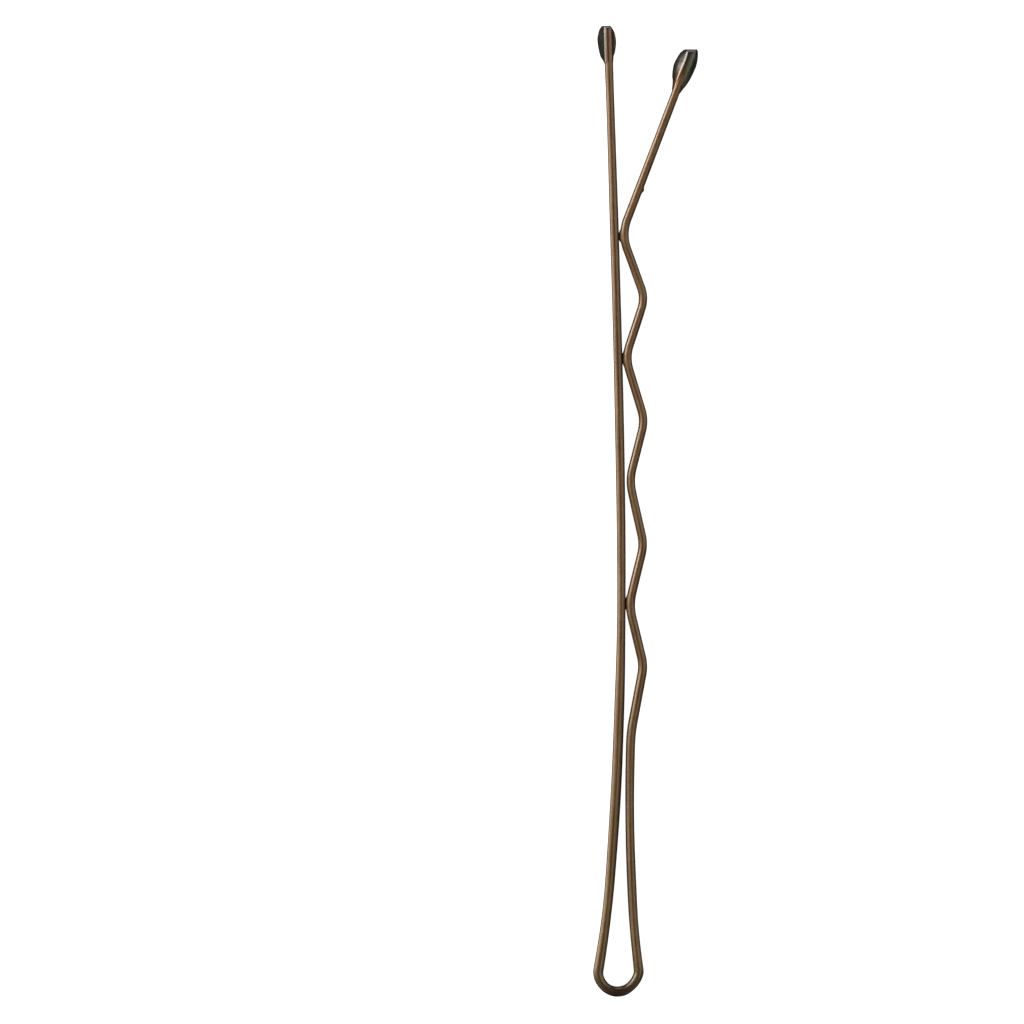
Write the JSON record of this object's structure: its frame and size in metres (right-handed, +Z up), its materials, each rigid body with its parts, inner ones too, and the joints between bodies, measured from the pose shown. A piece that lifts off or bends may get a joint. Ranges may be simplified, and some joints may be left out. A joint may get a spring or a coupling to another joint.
{
  "type": "bobby pin",
  "caption": "Ball-tip bobby pin: flat brown spring wire bent round a loop into a straight leg and a crimped wavy leg with a flared end and resin-dipped tips, for gripping hair.",
  "frame": {"origin": "middle of the base of the pin lying on its side on the resin drops", "axes": "+Y from the loop to the tips, +X from the straight leg to the wavy leg, +Z up, along the wire's width"},
  "size_m": [0.0064, 0.06, 0.0014],
  "materials": {
    "wire_enamel": "satin brown enamel with fine lengthwise streaks",
    "tip_resin": "glossy dark brown dipped resin"
  },
  "bodies": {
    "fixed_leg": {"straight_leg": "wire_enamel", "spring_loop": "wire_enamel", "straight_leg_tip": "tip_resin"},
    "opening_leg": {"wavy_leg_shank": "wire_enamel", "wavy_leg_crimps": "wire_enamel", "wavy_leg_flare": "wire_enamel", "wavy_leg_tip": "tip_resin"}
  },
  "joints": [
    {"name": "leg_opening", "type": "hinge", "parent": "fixed_leg", "child": "opening_leg", "pos_m": [-0.00166, -0.02848, 0.00072], "axis": [0, 0, -1], "range_deg": [0, 20], "stiffness_Nm_per_rad": 0.08, "springref_deg": -1.15, "deforming": ["spring_loop"]}
  ]
}
